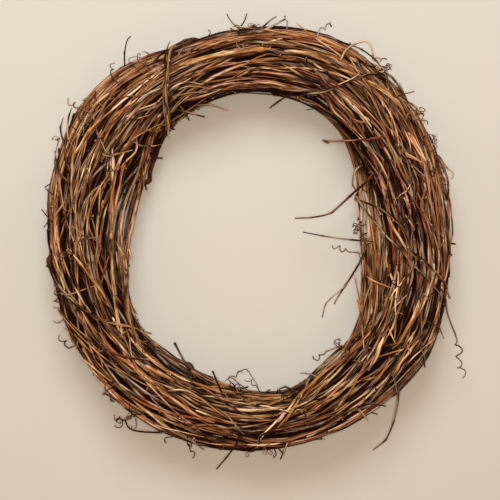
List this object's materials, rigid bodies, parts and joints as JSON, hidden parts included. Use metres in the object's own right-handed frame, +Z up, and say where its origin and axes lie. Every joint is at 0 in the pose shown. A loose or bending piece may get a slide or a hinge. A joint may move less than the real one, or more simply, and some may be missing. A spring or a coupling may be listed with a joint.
{
  "type": "grapevine wreath",
  "caption": "Ring of dried vine canes wound loosely round and round, bound with canes wrapped about the bundle, with side shoots and curled tendrils standing out all round.",
  "frame": {"origin": "centre of the bounding box in plan, on the surface that the wreath lies on", "axes": "+Z up out of the wreath's front, +Y to the wreath's top as it would hang, +X to the right seen from the front"},
  "size_m": [0.4845, 0.5184, 0.0743],
  "materials": {
    "cinnamon_vine": "dry matt vine bark",
    "golden_vine": "dry matt vine bark",
    "umber_vine": "dry matt vine bark",
    "grey_vine": "dry matt vine bark",
    "russet_vine": "dry matt vine bark"
  },
  "bodies": {
    "root": {"cane_01": "cinnamon_vine", "cane_02": "golden_vine", "cane_03": "umber_vine", "cane_04": "cinnamon_vine", "cane_05": "russet_vine", "cane_06": "grey_vine", "cane_07": "cinnamon_vine", "cane_08": "golden_vine", "cane_09": "umber_vine", "cane_10": "cinnamon_vine", "cane_11": "russet_vine", "cane_12": "grey_vine", "cane_13": "cinnamon_vine", "cane_14": "golden_vine", "cane_15": "umber_vine", "cane_16": "cinnamon_vine", "cane_17": "russet_vine", "cane_18": "grey_vine", "cane_19": "cinnamon_vine", "cane_20": "golden_vine", "cane_21": "umber_vine", "cane_22": "cinnamon_vine", "thick_binding_cane": "umber_vine", "thin_binding_cane": "golden_vine"}
  },
  "joints": []
}
